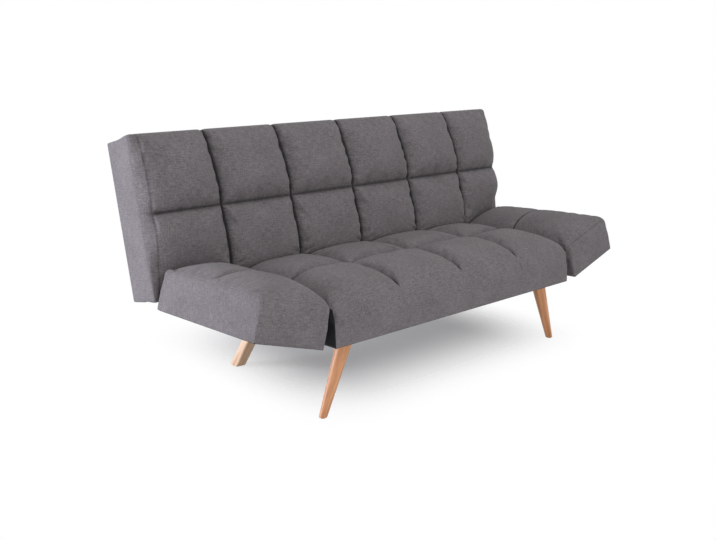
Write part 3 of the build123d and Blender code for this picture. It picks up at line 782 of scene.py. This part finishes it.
# Floor, light and camera. A ray is seen when it reaches the camera straight, by gloss or through glass.
FLOOR_HALF, FLOOR_GREY, FLOOR_GLOW = 30, 0.66, 0.10
SKY_COLOUR, SKY_STRENGTH = (0.97, 0.98, 1.0, 1), 0.55
WHITE = (1, 1, 1, 1)
# Along each axis, in metres: the shadow's middle, and how far from it the fade into white starts and ends
SHADOW = ((0, 0.06, 0.32, 0.76), (1, 0.15, 0.15, 0.69))


def seen_ray(tree):
    path = tree.nodes.new("ShaderNodeLightPath")
    indirect = math_node(tree, "MAXIMUM", path.outputs["Is Glossy Ray"], path.outputs["Is Transmission Ray"])
    return math_node(tree, "MAXIMUM", path.outputs["Is Camera Ray"], indirect)


def floor_paint():
    """Grey floor that carries the shadow and fades into the white around it."""
    m = bpy.data.materials.new("floor")
    m.use_nodes = True
    tree = m.node_tree
    tree.nodes.clear()
    out = tree.nodes.new("ShaderNodeOutputMaterial")
    plain = tree.nodes.new("ShaderNodeBsdfDiffuse")
    plain.inputs[0].default_value = (FLOOR_GREY, FLOOR_GREY, FLOOR_GREY, 1)
    glow = tree.nodes.new("ShaderNodeEmission")
    glow.inputs[0].default_value = WHITE
    seen = seen_ray(tree)
    tree.links.new(math_node(tree, "MULTIPLY", seen, FLOOR_GLOW), glow.inputs[1])
    both = tree.nodes.new("ShaderNodeAddShader")
    tree.links.new(plain.outputs[0], both.inputs[0])
    tree.links.new(glow.outputs[0], both.inputs[1])
    split = tree.nodes.new("ShaderNodeSeparateXYZ")
    tree.links.new(object_coordinates(tree), split.inputs[0])
    shadow = 1.0
    for axis, middle, near, away in SHADOW:
        fading = tree.nodes.new("ShaderNodeMapRange")
        fading.interpolation_type = "SMOOTHSTEP"
        fading.inputs["From Min"].default_value = near
        fading.inputs["From Max"].default_value = away
        fading.inputs["To Min"].default_value = 1.0
        fading.inputs["To Max"].default_value = 0.0
        off = math_node(tree, "ABSOLUTE", math_node(tree, "SUBTRACT", split.outputs[axis], middle))
        tree.links.new(off, fading.inputs["Value"])
        shadow = math_node(tree, "MULTIPLY", fading.outputs[0], shadow)
    clear = tree.nodes.new("ShaderNodeBsdfTransparent")
    melt = tree.nodes.new("ShaderNodeMixShader")
    open_floor = math_node(tree, "SUBTRACT", 1.0, shadow)
    tree.links.new(math_node(tree, "MULTIPLY", open_floor, seen), melt.inputs[0])
    tree.links.new(both.outputs[0], melt.inputs[1])
    tree.links.new(clear.outputs[0], melt.inputs[2])
    tree.links.new(melt.outputs[0], out.inputs[0])
    return m


def studio_world():
    """Pale sky for the light, and plain white where it is seen."""
    world = bpy.data.worlds.new("studio")
    world.use_nodes = True
    tree = world.node_tree
    tree.nodes.clear()
    out = tree.nodes.new("ShaderNodeOutputWorld")
    sky = tree.nodes.new("ShaderNodeBackground")
    sky.inputs[0].default_value = SKY_COLOUR
    sky.inputs[1].default_value = SKY_STRENGTH
    white = tree.nodes.new("ShaderNodeBackground")
    white.inputs[0].default_value = WHITE
    white.inputs[1].default_value = 1.0
    pick = tree.nodes.new("ShaderNodeMixShader")
    tree.links.new(seen_ray(tree), pick.inputs[0])
    tree.links.new(sky.outputs[0], pick.inputs[1])
    tree.links.new(white.outputs[0], pick.inputs[2])
    tree.links.new(pick.outputs[0], out.inputs[0])
    return world


floor_mesh = bpy.data.meshes.new("floor")
floor_corners = [(x * FLOOR_HALF, y * FLOOR_HALF, 0) for x, y in ((-1, -1), (1, -1), (1, 1), (-1, 1))]
floor_mesh.from_pydata(floor_corners, [], [(0, 1, 2, 3)])
floor = bpy.data.objects.new("floor", floor_mesh)
scene.collection.objects.link(floor)
floor.data.materials.append(floor_paint())
scene.world = studio_world()


def softbox(name, at, towards, size, power, colour):
    lamp = bpy.data.lights.new(name, "AREA")
    lamp.shape = "RECTANGLE"
    lamp.size, lamp.size_y = size
    lamp.energy = power
    lamp.color = colour
    o = bpy.data.objects.new(name, lamp)
    scene.collection.objects.link(o)
    o.location = at
    o.rotation_mode = "QUATERNION"
    o.rotation_quaternion = (Vector(towards) - Vector(at)).to_track_quat("-Z", "Y")


softbox("overhead", (-0.6, -0.8, 4.0), (0.0, 0.0, 0.4), (4.0, 3.0), 38.0, (1.0, 0.99, 0.98))
softbox("front", (-0.8, -4.6, 1.7), (0.0, 0.0, 0.4), (3.4, 2.2), 88.0, (1.0, 0.985, 0.975))
softbox("left", (-3.2, 1.7, 0.66), (-0.7, 0.2, 0.5), (1.6, 1.0), 118.0, (0.89, 0.90, 1.0))

# The camera fitted to the photo, whose width and focal length are in pixels
PHOTO_WIDTH, PHOTO_FOCUS = 716.0, 850.0
SENSOR = 36.0
camera_data = bpy.data.cameras.new("camera")
camera_data.sensor_width = SENSOR
camera_data.lens = PHOTO_FOCUS / PHOTO_WIDTH * SENSOR
camera = bpy.data.objects.new("camera", camera_data)
scene.collection.objects.link(camera)
camera.location = (-2.149, -2.3317, 1.153)
yaw, down = math.radians(40.96), math.radians(14.84)
ahead = Vector((math.sin(yaw) * math.cos(down), math.cos(yaw) * math.cos(down), -math.sin(down)))
camera.rotation_mode = "QUATERNION"
camera.rotation_quaternion = ahead.to_track_quat("-Z", "Y")
scene.camera = camera

scene.view_settings.view_transform = "Standard"
